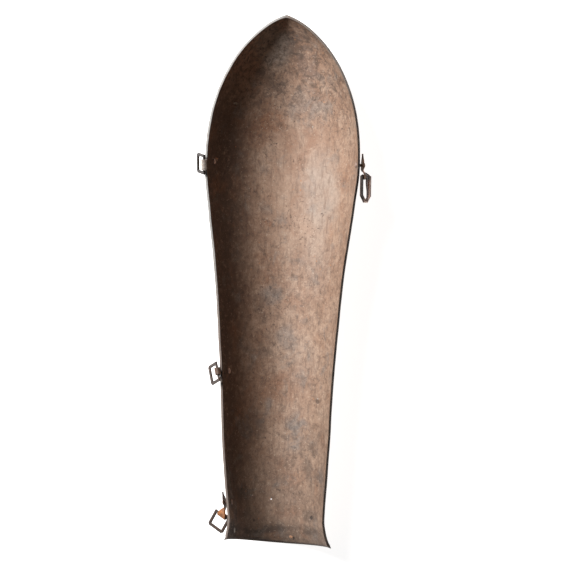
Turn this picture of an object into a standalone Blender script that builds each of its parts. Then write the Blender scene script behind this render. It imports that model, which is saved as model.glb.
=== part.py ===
"""One-piece iron forearm guard with four strap buckles, lying on its back with the hollow side up."""
import math

import bmesh
import bpy
from mathutils import Matrix, Vector

# Shell. Y runs from the wrist edge to the elbow point, Z is up, and lengths are metres.
LENGTH = 0.328
ELBOW_WIDTH = 0.0970
ELBOW_DEPTH = 0.042
WALL = 0.0018
POINT_LENGTH = 0.094
HALF_SWEEP = math.radians(79)
LIP_LENGTH = 0.014
LIP_FLARE = 0.0030
WRIST_SKEW = 0.0039
WRIST_BOW = 0.0025
SIDE_BOW = 0.0021
TIP_DROP = 0.010
CREASE_LENGTH = 0.050
CREASE = 0.30
PINHOLE_RADIUS = 0.00055

# Shape exponents of the pointed end, and where its belly touches the surface below.
OUTLINE_POWER = 2.3
OUTLINE_ROUND = 0.69
DEPTH_POWER = 2.0
DEPTH_ROUND = 0.62
BELLY_ALONG = 0.70
LIP_POWER = 1.7
EDGE_FADE = 0.15
BOW_POWER = 0.5

# Buckle plates, eyes, rivets, frames and tongue.
GAP = 0.0003
PLATE_LENGTH = 0.0200
PLATE_WIDTH = 0.0064
PLATE_THICKNESS = 0.0008
RIVET_RADIUS = 0.0010
RIVET_HEAD_RADIUS = 0.0019
RIVET_HEAD_HEIGHT = 0.0009
PEENED_RADIUS = 0.0018
PEENED_HEIGHT = 0.0006
BAR_WIDTH = 0.0019
TONGUED_BAR_WIDTH = 0.0023
BAR_THICKNESS = 0.0014
BAR_CHAMFER = 0.0003
HINGE_BAR_WIDTH = 0.0014
EYE_CLEARANCE = 0.0002
FRAME_WIDTH = 0.0126
FRAME_REACH = 0.0092
TONGUED_FRAME_WIDTH = 0.0102
TONGUED_FRAME_SHOULDER = 0.0115
TONGUED_FRAME_REACH = 0.0160
FRAME_CORNER_CUT = 0.3
TONGUED_FRAME_BLUNT = 0.30
TONGUE_WIDTH = 0.0014
TONGUE_THICKNESS = 0.0007
TONGUE_SIDE_CLEARANCE = 0.0004
TONGUE_TAPER = 0.4
TONGUE_END = 0.3

# Where along its path a plate starts to take its eye's width, and a rising plate its eye's direction,
# and how far past its rivet's head a trailing plate stays flat.
EYE_WIDENS_FROM = 0.70
EYE_WIDENS_OVER = 0.25
EYE_TURNS_FROM = 0.55
FLAT_PAST_HEAD = 1.1

# Mesh steps.
LIP_ROWS = 6
BODY_ROWS = 20
POINT_ROWS = 20
POINT_CROWDING = 1.6
COLUMNS = 34
EYE_STEPS = 12
EYE_WRAP = math.radians(255)
RISING_STEPS = 14
POINT_STEPS = 6
BEND_STEPS = 10
TONGUE_STEPS = 10
HOLE_SIDES = 16
HOLE_REACH = 0.002
RIVET_SIDES = 14
SLOPE_STEP = 0.001
TURN_STEP = 0.001
TIP_WALL = 1.1
SMOOTH_BELOW = math.radians(40)

# Sections of the shell: share of LENGTH from the wrist, share of ELBOW_WIDTH, share of ELBOW_DEPTH.
SECTIONS = (
    {"along": 0.000, "width": 0.620, "depth": 0.735},
    {"along": 0.050, "width": 0.636, "depth": 0.745},
    {"along": 0.117, "width": 0.671, "depth": 0.765},
    {"along": 0.193, "width": 0.703, "depth": 0.790},
    {"along": 0.326, "width": 0.748, "depth": 0.835},
    {"along": 0.497, "width": 0.835, "depth": 0.905},
    {"along": 0.630, "width": 0.945, "depth": 0.975},
    {"along": 1 - POINT_LENGTH / LENGTH, "width": 1.000, "depth": 1.000},
)

# Outline of a buckle plate: share of its length from the pointed end, share of PLATE_WIDTH.
PLATE_OUTLINE = (
    {"along": 0.00, "width": 0.10},
    {"along": 0.14, "width": 0.22},
    {"along": 0.24, "width": 0.50},
    {"along": 0.40, "width": 0.80},
    {"along": 0.55, "width": 0.84},
    {"along": 0.75, "width": 0.80},
    {"along": 1.00, "width": 0.86},
)

# Pinholes: share of LENGTH from the wrist, and share of the half width from the spine.
PINHOLES = (
    {"along": 0.080, "across": -0.51},
    {"along": 0.073, "across": -0.10},
)

# Domes of a rivet: share of the end's radius, and share of its height out from its flat face.
PEENED_DOME = (
    {"radius": 0.55, "height": 0.85},
    {"radius": 0.92, "height": 0.35},
    {"radius": 1.00, "height": 0.00},
)
HEAD_DOME = (
    {"radius": 1.00, "height": 0.00},
    {"radius": 0.85, "height": 0.55},
    {"radius": 0.45, "height": 0.92},
)

# Buckles whose plate climbs the outside wall to an eye above the rim. Side -1 is left. Length, and foot, the
# lower end's shift toward the elbow, are shares of PLATE_LENGTH, eye_out is a share of PLATE_THICKNESS and
# eye_width of PLATE_WIDTH. The rivet sits a share of the plate's length below the rim. Heading turns the eye
# from straight out toward the wrist, twist leans it from upright, and dip is how far the frame hangs.
RISING_BUCKLES = (
    {"name": "upper_left", "side": -1, "along": 0.7106, "length": 1.00, "foot": 0.22, "rivet": 0.66,
     "eye_out": 0.10, "eye_width": 1.03,
     "heading": math.radians(1), "twist": math.radians(102), "dip": math.radians(65)},
    {"name": "middle_left", "side": -1, "along": 0.3200, "length": 0.90, "foot": 0.00, "rivet": 0.66,
     "eye_out": 1.25, "eye_width": 0.69,
     "heading": math.radians(12), "twist": math.radians(75), "dip": math.radians(59)},
)

# Buckles whose plate lies beside the outside wall and trails toward the wrist. The plate's point starts at
# finial and its rivet sits a share of the way to the eye. Drops below the rim are shares of PLATE_LENGTH,
# stands off the wall are shares of PLATE_THICKNESS, eye_width is a share of PLATE_WIDTH, and eye_out is a
# share of how far the leaning frame reaches in over the rim.
TRAILING_BUCKLES = (
    {"name": "lower_left", "side": -1, "along": 0.0402, "finial": 0.0905, "rivet": 0.42,
     "finial_drop": 0.150, "finial_stand": 2.0, "rivet_drop": 0.31, "rivet_stand": 2.6,
     "eye_out": 0.65, "eye_drop": 0.700, "eye_width": 0.97,
     "heading": math.radians(58), "twist": math.radians(60), "dip": math.radians(10), "tongued": False},
    {"name": "upper_right", "side": 1, "along": 0.6935, "finial": 0.7370, "rivet": 0.50,
     "finial_drop": 0.175, "finial_stand": 2.1, "rivet_drop": 0.20, "rivet_stand": 2.4,
     "eye_out": 1.13, "eye_drop": 0.225, "eye_width": 0.780,
     "heading": math.radians(90), "twist": math.radians(40), "dip": math.radians(0), "tongued": True},
)

COLOURS = {
    "iron": (0.185, 0.135, 0.105),
    "plate": (0.130, 0.085, 0.060),
    "frame": (0.110, 0.075, 0.060),
    "rivet": (0.160, 0.115, 0.090),
    "tongue": (0.100, 0.070, 0.055),
}


def clear_scene():
    for item in list(bpy.data.objects):
        bpy.data.objects.remove(item, do_unlink=True)


def make_material(name, colour, roughness):
    material = bpy.data.materials.new(name)
    material.use_nodes = True
    shader = material.node_tree.nodes["Principled BSDF"]
    shader.inputs["Base Color"].default_value = (*colour, 1)
    shader.inputs["Metallic"].default_value = 0.8
    shader.inputs["Roughness"].default_value = roughness
    return material


def smooth_step(value):
    value = min(max(value, 0), 1)
    return value * value * (3 - 2 * value)


def lookup(table, column, along):
    """Smooth curve through a table's rows."""
    places = [row["along"] for row in table]
    values = [row[column] for row in table]
    slopes = []
    for i in range(len(table)):
        low = max(i - 1, 0)
        high = min(i + 1, len(table) - 1)
        slopes.append((values[high] - values[low]) / (places[high] - places[low]))
    slopes[-1] = 0.0
    along = min(max(along, places[0]), places[-1])
    i = 0
    while i < len(table) - 2 and along > places[i + 1]:
        i += 1
    step = places[i + 1] - places[i]
    t = (along - places[i]) / step
    return (values[i] * (1 + 2 * t) * (1 - t) ** 2 + slopes[i] * step * t * (1 - t) ** 2
            + values[i + 1] * t * t * (3 - 2 * t) + slopes[i + 1] * step * t * t * (t - 1))


def from_tip(station):
    """Share of the pointed end's length between the tip and a station, at most 1."""
    return min((LENGTH - station) / POINT_LENGTH, 1.0)


def lip(station):
    """How far the wrist lip flares out at a station."""
    return LIP_FLARE * max(0.0, 1 - station / LIP_LENGTH) ** LIP_POWER


def half_width(station):
    share = from_tip(station)
    if share >= 1:
        return ELBOW_WIDTH / 2 * lookup(SECTIONS, "width", station / LENGTH) + lip(station)
    return ELBOW_WIDTH / 2 * (1 - (1 - share) ** OUTLINE_POWER) ** OUTLINE_ROUND


def depth(station):
    share = from_tip(station)
    if share >= 1:
        return ELBOW_DEPTH * lookup(SECTIONS, "depth", station / LENGTH)
    return ELBOW_DEPTH * (1 - (1 - share) ** DEPTH_POWER) ** DEPTH_ROUND


def rim_height(station):
    """The spine rises slightly from the belly to the wrist, where the lip reaches down to rest."""
    lift = LIP_FLARE * max(0.0, 1 - station / (BELLY_ALONG * LENGTH))
    if from_tip(station) >= 1:
        return lift + depth(station)
    return ELBOW_DEPTH - TIP_DROP * (1 - from_tip(station)) ** 2


def centre_shift(station):
    """Sideways bow of the whole shell, strongest in the half nearer the wrist."""
    return -SIDE_BOW * math.sin(math.pi * max(station / LENGTH, 0.0) ** BOW_POWER)


def outer_point(station, turn):
    """Point on the outside of the shell; turn is the angle from the spine, left side negative."""
    across = math.sin(turn) / math.sin(HALF_SWEEP)
    crease = CREASE * max(0.0, 1 - (LENGTH - station) / CREASE_LENGTH) ** 2
    bowl = (math.cos(turn) - math.cos(HALF_SWEEP)) / (1 - math.cos(HALF_SWEEP))
    keel = 1 - abs(turn) / HALF_SWEEP
    fade = max(0.0, 1 - station / (EDGE_FADE * LENGTH)) ** 2
    edge = WRIST_SKEW / 2 * across + WRIST_BOW * (1 - across * across)
    x = half_width(station) * across + centre_shift(station)
    z = rim_height(station) - (depth(station) + lip(station)) * ((1 - crease) * bowl + crease * keel)
    return Vector((x, station - fade * edge, z))


def wall_frame(station, turn):
    """Outside point, outward normal, direction toward the elbow and direction toward the rim."""
    step = min(SLOPE_STEP, (LENGTH - station) / 4)
    here = outer_point(station, turn)
    ahead = outer_point(station + step, turn)
    behind = outer_point(max(station - step, 0.0), turn)
    toward_elbow = (ahead - behind).normalized()
    right = outer_point(station, turn + TURN_STEP)
    left = outer_point(station, turn - TURN_STEP)
    across = (right - left).normalized()
    normal = toward_elbow.cross(across).normalized()
    toward_rim = across if turn > 0 else -across
    return here, normal, toward_elbow, toward_rim


def turn_at_drop(station, side, drop):
    """Angle of the wall point that lies a given arc below the rim."""
    radius = half_width(station) / math.sin(HALF_SWEEP)
    return side * (HALF_SWEEP - drop / radius)


def stations():
    start = LENGTH - POINT_LENGTH
    rows = [LIP_LENGTH * i / LIP_ROWS for i in range(LIP_ROWS)]
    rows += [LIP_LENGTH + (start - LIP_LENGTH) * i / BODY_ROWS for i in range(BODY_ROWS)]
    rows += [LENGTH - POINT_LENGTH * (1 - i / POINT_ROWS) ** POINT_CROWDING for i in range(POINT_ROWS)]
    return rows


def mesh_object(name, points, faces, material, smooth=True):
    """One closed mesh object with its faces pointing out."""
    mesh = bpy.data.meshes.new(name)
    mesh.from_pydata([tuple(point) for point in points], [], faces)
    work = bmesh.new()
    work.from_mesh(mesh)
    bmesh.ops.recalc_face_normals(work, faces=work.faces)
    work.to_mesh(mesh)
    work.free()
    mesh.update()
    item = bpy.data.objects.new(name, mesh)
    bpy.context.scene.collection.objects.link(item)
    if material:
        item.data.materials.append(material)
    if smooth:
        mesh.shade_smooth()
        mesh.set_sharp_from_angle(angle=SMOOTH_BELOW)
    return item


def cutter(name, points, faces):
    """A guide mesh that only cuts."""
    item = mesh_object(name, points, faces, None, smooth=False)
    item.hide_render = True
    item.display_type = "WIRE"
    return item


def cut_with(item, tool):
    modifier = item.modifiers.new("cut_" + tool.name, "BOOLEAN")
    modifier.operation = "DIFFERENCE"
    modifier.solver = "EXACT"
    modifier.object = tool


def rod(centre, axis, radius, back, front, sides=HOLE_SIDES):
    """Points and faces of a straight rod along an axis, from back to front of its centre."""
    first = axis.orthogonal().normalized()
    second = axis.cross(first)
    points = []
    for place in (-back, front):
        for i in range(sides):
            angle = math.tau * i / sides
            points.append(centre + axis * place + (first * math.cos(angle) + second * math.sin(angle)) * radius)
    faces = [(i, (i + 1) % sides, sides + (i + 1) % sides, sides + i) for i in range(sides)]
    faces += [tuple(range(sides)), tuple(range(sides, 2 * sides))]
    return points, faces


def joined(shapes):
    """Several separate shapes as one list of points and one list of faces."""
    points = []
    faces = []
    for shape_points, shape_faces in shapes:
        first = len(points)
        points += shape_points
        faces += [tuple(first + corner for corner in face) for face in shape_faces]
    return points, faces


def build_shell(material):
    """Outer and inner skins of the shell with its rim, its wrist edge and its two poles at the tip."""
    rows = stations()
    turns = [HALF_SWEEP * (2 * i / COLUMNS - 1) for i in range(COLUMNS + 1)]
    outer = []
    inner = []
    for station in rows:
        for turn in turns:
            here, normal, _, _ = wall_frame(station, turn)
            outer.append(here)
            inner.append(here - normal * WALL)
    count = len(outer)
    tip = outer_point(LENGTH, 0.0)
    points = outer + inner + [tip, tip - Vector((0, WALL * TIP_WALL, 0))]
    outer_tip = 2 * count
    inner_tip = 2 * count + 1
    width = COLUMNS + 1
    faces = []
    for row in range(len(rows) - 1):
        for column in range(COLUMNS):
            corner = row * width + column
            faces.append((corner, corner + 1, corner + 1 + width, corner + width))
            inside = count + corner
            faces.append((inside, inside + width, inside + 1 + width, inside + 1))
        for edge in (row * width, row * width + COLUMNS):
            faces.append((edge, edge + width, count + edge + width, count + edge))
    last = (len(rows) - 1) * width
    for column in range(COLUMNS):
        faces.append((last + column, last + column + 1, outer_tip))
        faces.append((count + last + column + 1, count + last + column, inner_tip))
        faces.append((column, count + column, count + column + 1, column + 1))
    for edge in (last, last + COLUMNS):
        faces.append((edge, outer_tip, inner_tip, count + edge))
    return mesh_object("guard_plate", points, faces, material)


def sweep_strip(name, centres, sides, tangents, halves, thickness, material):
    """A flat strip of one thickness along a path, with its own width direction at each station."""
    points = []
    for centre, side, tangent, half in zip(centres, sides, tangents, halves):
        across = (side - tangent * side.dot(tangent)).normalized()
        normal = tangent.cross(across).normalized()
        for sign_across, sign_normal in ((1, 1), (-1, 1), (-1, -1), (1, -1)):
            points.append(centre + across * half * sign_across + normal * thickness / 2 * sign_normal)
    faces = [(0, 1, 2, 3)]
    for i in range(len(centres) - 1):
        for k in range(4):
            near = 4 * i + k
            beside = 4 * i + (k + 1) % 4
            faces.append((near, beside, beside + 4, near + 4))
    last = 4 * (len(centres) - 1)
    faces.append((last + 3, last + 2, last + 1, last))
    return mesh_object(name, points, faces, material)


def path_tangents(centres):
    tangents = []
    for i in range(len(centres)):
        low = max(i - 1, 0)
        high = min(i + 1, len(centres) - 1)
        tangents.append((centres[high] - centres[low]).normalized())
    return tangents


def path_shares(centres):
    """Share of the path's length at each of its points."""
    lengths = [0.0]
    for near, far in zip(centres, centres[1:]):
        lengths.append(lengths[-1] + (far - near).length)
    return [length / lengths[-1] for length in lengths]


def hinge_radius():
    """Radius of the round hole that the chamfered hinge bar just fills."""
    flat = HINGE_BAR_WIDTH / 2 - BAR_CHAMFER
    return math.hypot(flat, BAR_THICKNESS / 2)


def eye_radius():
    """Distance from the hinge axis to the middle of the rolled plate."""
    return hinge_radius() + EYE_CLEARANCE + PLATE_THICKNESS / 2


def hinge_direction(buckle):
    """Direction along the hinge bar, from its low or outer end to its high or inner end."""
    twist = buckle["twist"]
    inward = Vector((-buckle["side"] * math.sin(buckle["heading"]), -math.cos(buckle["heading"]), 0))
    return inward * math.sin(twist) + Vector((0, 0, 1)) * math.cos(twist)


def pointing(buckle, dip):
    """Direction along a buckle's heading, tilted down by dip."""
    level = Vector((buckle["side"] * math.cos(buckle["heading"]), -math.sin(buckle["heading"]), 0))
    return level * math.cos(dip) - Vector((0, 0, 1)) * math.sin(dip)


def square_to(vector, axis):
    return (vector - axis * vector.dot(axis)).normalized()


def outward_of(tangent, hinge, side):
    """Normal of the plate at its eye that looks away from the shell."""
    normal = tangent.cross(hinge).normalized()
    return normal if normal.dot(Vector((side, 0, 0.5))) > 0 else -normal


def rolled_eye(axis_point, outward, tangent):
    """Stations of the plate's end where it rolls inward round the hinge axis."""
    centres = []
    tangents = []
    radius = eye_radius()
    for i in range(1, EYE_STEPS + 1):
        angle = EYE_WRAP * i / EYE_STEPS
        centres.append(axis_point + (outward * math.cos(angle) + tangent * math.sin(angle)) * radius)
        tangents.append(tangent * math.cos(angle) - outward * math.sin(angle))
    return centres, tangents


def plate_halves(shares, eye_width):
    """Half widths along a plate, from its pointed end to the width of its eye."""
    halves = []
    for share in shares:
        body = PLATE_WIDTH / 2 * lookup(PLATE_OUTLINE, "width", share)
        blend = smooth_step((share - EYE_WIDENS_FROM) / EYE_WIDENS_OVER)
        halves.append(body + (eye_width / 2 - body) * blend)
    return halves


def make_buckle_plate(buckle, centres, sides, tangents, hinge, material):
    """The plate from its path, with the rolled eye at its end. Returns the plate and the hinge point."""
    tangent = square_to(tangents[-1], hinge)
    outward = outward_of(tangent, hinge, buckle["side"])
    axis_point = centres[-1] - outward * eye_radius()
    eye_width = PLATE_WIDTH * buckle["eye_width"]
    halves = plate_halves(path_shares(centres), eye_width)
    tangents[-1] = tangent
    eye_centres, eye_tangents = rolled_eye(axis_point, outward, tangent)
    plate = sweep_strip(
        "buckle_plate_" + buckle["name"], centres + eye_centres, sides + [hinge] * EYE_STEPS,
        tangents + eye_tangents, halves + [eye_width / 2] * EYE_STEPS, PLATE_THICKNESS, material)
    return plate, {"point": axis_point, "hinge": hinge, "outward": outward, "tangent": tangent}


def rising_plate(buckle, material):
    """Plate that follows the wall up to the rim and stands just above it."""
    station = buckle["along"] * LENGTH
    side = buckle["side"]
    hinge = hinge_direction(buckle)
    length = PLATE_LENGTH * buckle["length"]
    foot = PLATE_LENGTH * buckle["foot"]
    offset = GAP + PLATE_THICKNESS / 2
    eye_out = PLATE_THICKNESS * buckle["eye_out"]
    lean = PLATE_WIDTH * buckle["eye_width"] / 2 * abs(math.cos(buckle["twist"]))
    total = length + eye_radius() + PLATE_THICKNESS / 2 + GAP + lean
    centres = []
    sides = []
    for i in range(RISING_STEPS + 1):
        drop = length - total * i / RISING_STEPS
        below = max(drop, 0.0)
        here, normal, toward_elbow, toward_rim = wall_frame(
            station + foot * below / length, turn_at_drop(station, side, below))
        bend = smooth_step((i / RISING_STEPS - EYE_TURNS_FROM) / (1 - EYE_TURNS_FROM))
        centres.append(here + normal * (offset + eye_out * bend) + toward_rim * max(-drop, 0.0))
        sides.append((-toward_elbow * (1 - bend) + hinge * bend).normalized())
    tangents = path_tangents(centres)
    plate, eye = make_buckle_plate(buckle, centres, sides, tangents, hinge, material)
    centre, axis, _, _ = wall_frame(
        station + foot * buckle["rivet"], turn_at_drop(station, side, length * buckle["rivet"]))
    return plate, eye, (centre, axis, GAP)


def eased(start, start_way, end, end_way, share):
    """Point and direction on a smooth curve between two points with given directions."""
    reach = (end - start).length
    point = (start * (1 + 2 * share) * (1 - share) ** 2 + start_way * reach * share * (1 - share) ** 2
             + end * share * share * (3 - 2 * share) + end_way * reach * share * share * (share - 1))
    way = ((end - start) * 6 * share * (1 - share) + start_way * reach * (1 - share) * (1 - 3 * share)
           + end_way * reach * share * (3 * share - 2))
    return point, way.normalized()


def trailing_plate(buckle, material):
    """Plate that is flat under its rivet, then bends off the wall to an eye turned toward the wrist."""
    side = buckle["side"]
    hinge = hinge_direction(buckle)
    start_station = buckle["finial"] * LENGTH
    eye_station = buckle["along"] * LENGTH
    rivet_station = start_station + (eye_station - start_station) * buckle["rivet"]
    start, normal, _, _ = wall_frame(
        start_station, turn_at_drop(start_station, side, PLATE_LENGTH * buckle["finial_drop"]))
    start = start + normal * PLATE_THICKNESS * (buckle["finial_stand"] + 0.5)
    wall_point, axis, _, wall_side = wall_frame(
        rivet_station, turn_at_drop(rivet_station, side, PLATE_LENGTH * buckle["rivet_drop"]))
    stand = PLATE_THICKNESS * buckle["rivet_stand"]
    middle = wall_point + axis * (stand + PLATE_THICKNESS / 2)
    rim_point = outer_point(eye_station, side * HALF_SWEEP)
    eye_out = frame_half_width(buckle["tongued"]) * abs(hinge.x) * buckle["eye_out"]
    axis_point = rim_point + Vector((side * eye_out, 0, -PLATE_LENGTH * buckle["eye_drop"]))
    flat_way = square_to((axis_point - start).normalized(), axis)
    flat_start = middle - flat_way * RIVET_HEAD_RADIUS * FLAT_PAST_HEAD
    flat_end = middle + flat_way * RIVET_HEAD_RADIUS * FLAT_PAST_HEAD
    end_way = (axis_point - flat_end).normalized()
    end_tangent = square_to(end_way, hinge)
    end = axis_point + outward_of(end_tangent, hinge, side) * eye_radius()
    start_way = (flat_start - start).normalized()
    stretch = [(eased(start, start_way, flat_start, flat_way, i / POINT_STEPS), 0.0)
               for i in range(POINT_STEPS + 1)]
    stretch += [(eased(flat_end, flat_way, end, end_way, i / BEND_STEPS), i / BEND_STEPS)
                for i in range(BEND_STEPS + 1)]
    centres = []
    sides = []
    tangents = []
    for (point, way), share in stretch:
        bend = smooth_step(share)
        centres.append(point)
        sides.append((wall_side * (1 - bend) + hinge * bend).normalized())
        tangents.append((way * (1 - bend) + end_tangent * bend).normalized())
    plate, eye = make_buckle_plate(buckle, centres, sides, tangents, hinge, material)
    return plate, eye, (wall_point, axis, stand)


def make_rivet(name, place, material):
    """Rivet with a domed head outside the plate and a peened end inside the shell."""
    centre, axis, stand = place
    seat = stand + PLATE_THICKNESS + GAP
    inside = -(WALL + GAP)
    profile = [(PEENED_RADIUS * row["radius"], inside - PEENED_HEIGHT * row["height"]) for row in PEENED_DOME]
    profile += [(RIVET_RADIUS, inside), (RIVET_RADIUS, seat)]
    profile += [(RIVET_HEAD_RADIUS * row["radius"], seat + RIVET_HEAD_HEIGHT * row["height"])
                for row in HEAD_DOME]
    first = axis.orthogonal().normalized()
    second = axis.cross(first)
    sides = RIVET_SIDES
    points = []
    for radius, height in profile:
        for i in range(sides):
            angle = math.tau * i / sides
            points.append(centre + axis * height + (first * math.cos(angle) + second * math.sin(angle)) * radius)
    low_pole = len(points)
    points.append(centre + axis * (inside - PEENED_HEIGHT))
    points.append(centre + axis * (seat + RIVET_HEAD_HEIGHT))
    faces = []
    last = sides * (len(profile) - 1)
    for i in range(sides):
        beside = (i + 1) % sides
        for ring in range(len(profile) - 1):
            base = ring * sides
            faces.append((base + i, base + beside, base + sides + beside, base + sides + i))
        faces.append((beside, i, low_pole))
        faces.append((last + i, last + beside, low_pole + 1))
    return mesh_object(name, points, faces, material)


def rivet_hole(name, place):
    """Cutter for the rivet's clearance hole through the plate and the shell."""
    centre, axis, stand = place
    front = stand + PLATE_THICKNESS + HOLE_REACH
    shape = rod(centre, axis, RIVET_RADIUS + GAP, WALL + HOLE_REACH, front)
    return cutter(name, *shape)


def frame_half_width(tongued):
    return (TONGUED_FRAME_WIDTH if tongued else FRAME_WIDTH) / 2


def bar_width(tongued):
    return TONGUED_BAR_WIDTH if tongued else BAR_WIDTH


def frame_corners(tongued):
    """Centre line of a frame in its own plane: the hinge bar lies on the X axis, first edge first."""
    half = frame_half_width(tongued) - bar_width(tongued) / 2
    if tongued:
        blunt = half * TONGUED_FRAME_BLUNT
        tip = TONGUED_FRAME_REACH - TONGUED_BAR_WIDTH / 2
        return [(-half, 0), (half, 0), (half, TONGUED_FRAME_SHOULDER), (blunt, tip), (-blunt, tip),
                (-half, TONGUED_FRAME_SHOULDER)]
    cut = BAR_WIDTH * FRAME_CORNER_CUT
    return [(-half, 0), (half, 0), (half, FRAME_REACH - cut), (half - cut, FRAME_REACH),
            (cut - half, FRAME_REACH), (-half, FRAME_REACH - cut)]


def offset_loop(corners, offset, slimmer):
    """Corners of the loop moved out by offset, or by that much less on the slimmer hinge edge."""
    moved = []
    count = len(corners)
    lines = []
    for i in range(count):
        start = Vector(corners[i])
        run = (Vector(corners[(i + 1) % count]) - start).normalized()
        away = Vector((run.y, -run.x))
        less = math.copysign(slimmer, offset) if i == 0 else 0.0
        lines.append((start + away * (offset - less), run))
    for i in range(count):
        (start, run), (other, other_run) = lines[i - 1], lines[i]
        cross = run.x * other_run.y - run.y * other_run.x
        gap = other - start
        t = (gap.x * other_run.y - gap.y * other_run.x) / cross
        moved.append(start + run * t)
    return moved


def make_frame(buckle, eye, tongued, material):
    """Flat-barred frame with chamfered edges, its origin on the hinge axis."""
    wide = bar_width(tongued) / 2
    slimmer = wide - HINGE_BAR_WIDTH / 2
    high = BAR_THICKNESS / 2
    cut = BAR_CHAMFER
    profile = ((wide, high - cut), (wide - cut, high), (cut - wide, high), (-wide, high - cut),
               (-wide, cut - high), (cut - wide, -high), (wide - cut, -high), (wide, cut - high))
    corners = frame_corners(tongued)
    points = []
    for offset, height in profile:
        for corner in offset_loop(corners, offset, slimmer):
            points.append(Vector((corner.x, corner.y, height)))
    count = len(corners)
    faces = []
    for ring in range(len(profile)):
        following = (ring + 1) % len(profile)
        for i in range(count):
            beside = (i + 1) % count
            faces.append((ring * count + i, ring * count + beside, following * count + beside,
                          following * count + i))
    frame = mesh_object("buckle_frame_" + buckle["name"], points, faces, material)
    across = eye["hinge"]
    length_way = square_to(pointing(buckle, buckle["dip"]), across)
    up = across.cross(length_way)
    turn = Matrix((across, length_way, up)).transposed().to_4x4()
    frame.matrix_world = Matrix.Translation(eye["point"]) @ turn
    return frame


def make_tongue(buckle, frame, up_side, material):
    """Tongue looped round the hinge bar, waving along the frame and lying over its outer bar."""
    radius = hinge_radius() + EYE_CLEARANCE + TONGUE_THICKNESS / 2
    over_bar = BAR_THICKNESS / 2 + GAP + TONGUE_THICKNESS / 2
    reach = TONGUED_FRAME_REACH - TONGUED_BAR_WIDTH * TONGUE_END
    path = []
    for i in range(TONGUE_STEPS):
        angle = math.pi / 2 + EYE_WRAP * (1 - i / TONGUE_STEPS)
        path.append((math.cos(angle) * radius, math.sin(angle) * radius))
    for i in range(TONGUE_STEPS + 1):
        share = i / TONGUE_STEPS
        level = radius + (over_bar - radius) * share
        path.append((reach * share, level - TONGUE_THICKNESS * math.sin(math.tau * share) * (1 - share)))
    centres = [Vector((0, along, height * up_side)) for along, height in path]
    halves = []
    for i in range(len(centres)):
        share = max(0.0, i / TONGUE_STEPS - 1)
        halves.append(TONGUE_WIDTH / 2 * (1 - TONGUE_TAPER * share))
    sides = [Vector((1, 0, 0))] * len(centres)
    tongue = sweep_strip("buckle_tongue_" + buckle["name"], centres, sides, path_tangents(centres), halves,
                         TONGUE_THICKNESS, material)
    tongue.matrix_world = frame.matrix_world.copy()
    return tongue


def tongue_slot(eye):
    """Cutter for the slot in the eye that the tongue's loop turns in."""
    half = TONGUE_WIDTH / 2 + TONGUE_SIDE_CLEARANCE
    reach = eye_radius() + PLATE_THICKNESS
    points = []
    for along in (-reach, reach):
        for across, height in ((-half, -reach), (half, -reach), (half, reach), (-half, reach)):
            points.append(eye["point"] + eye["tangent"] * along + eye["hinge"] * across
                          + eye["outward"] * height)
    faces = [(0, 1, 2, 3), (7, 6, 5, 4), (0, 4, 5, 1), (1, 5, 6, 2), (2, 6, 7, 3), (3, 7, 4, 0)]
    return cutter("cut_tongue_slot", points, faces)


def pinhole_shapes():
    shapes = []
    for hole in PINHOLES:
        station = hole["along"] * LENGTH
        turn = math.asin(hole["across"] * math.sin(HALF_SWEEP))
        centre, axis, _, _ = wall_frame(station, turn)
        shapes.append(rod(centre, axis, PINHOLE_RADIUS, WALL * 2, WALL))
    return shapes


def build_buckle(buckle, maker, materials):
    """One buckle: plate, rivet, frame and, where it has one, tongue."""
    plate, eye, rivet_place = maker(buckle, materials["plate"])
    tool = rivet_hole("cut_rivet_" + buckle["name"], rivet_place)
    cut_with(plate, tool)
    rivet = make_rivet("buckle_rivet_" + buckle["name"], rivet_place, materials["rivet"])
    tongued = buckle.get("tongued", False)
    frame = make_frame(buckle, eye, tongued, materials["frame"])
    made = [plate, rivet, frame]
    if tongued:
        cut_with(plate, tongue_slot(eye))
        up_side = 1 if frame.matrix_world.to_3x3().col[2].dot(eye["outward"]) > 0 else -1
        made.append(make_tongue(buckle, frame, up_side, materials["tongue"]))
    return made, tool


def stand_on_origin(items):
    """Puts the middle of the whole guard's footprint on the origin, at the height it rests on."""
    bpy.context.view_layer.update()
    corners = [item.matrix_world @ point.co for item in items for point in item.data.vertices]
    low = Vector([min(corner[axis] for corner in corners) for axis in range(3)])
    high = Vector([max(corner[axis] for corner in corners) for axis in range(3)])
    base = bpy.data.objects.new("arm_guard", None)
    bpy.context.scene.collection.objects.link(base)
    for item in list(bpy.data.objects):
        if item is not base:
            item.parent = base
    base.location = (-(low.x + high.x) / 2, -(low.y + high.y) / 2, -low.z)
    bpy.context.view_layer.update()


def main():
    clear_scene()
    roughness = {"iron": 0.55, "plate": 0.6, "frame": 0.5, "rivet": 0.5, "tongue": 0.5}
    materials = {name: make_material(name, COLOURS[name], roughness[name]) for name in COLOURS}
    shell = build_shell(materials["iron"])
    items = [shell]
    tools = []
    for table, maker in ((RISING_BUCKLES, rising_plate), (TRAILING_BUCKLES, trailing_plate)):
        for buckle in table:
            made, tool = build_buckle(buckle, maker, materials)
            items += made
            tools.append(tool)
    for tool in tools:
        cut_with(shell, tool)
    cut_with(shell, cutter("cut_pinholes", *joined(pinhole_shapes())))
    stand_on_origin(items)


main()
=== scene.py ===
"""Worn iron forearm guard with its strap buckles, lying on its back under soft light."""
import math

import bmesh
import bpy
import numpy as np
from mathutils import Matrix, Vector, noise


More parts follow.
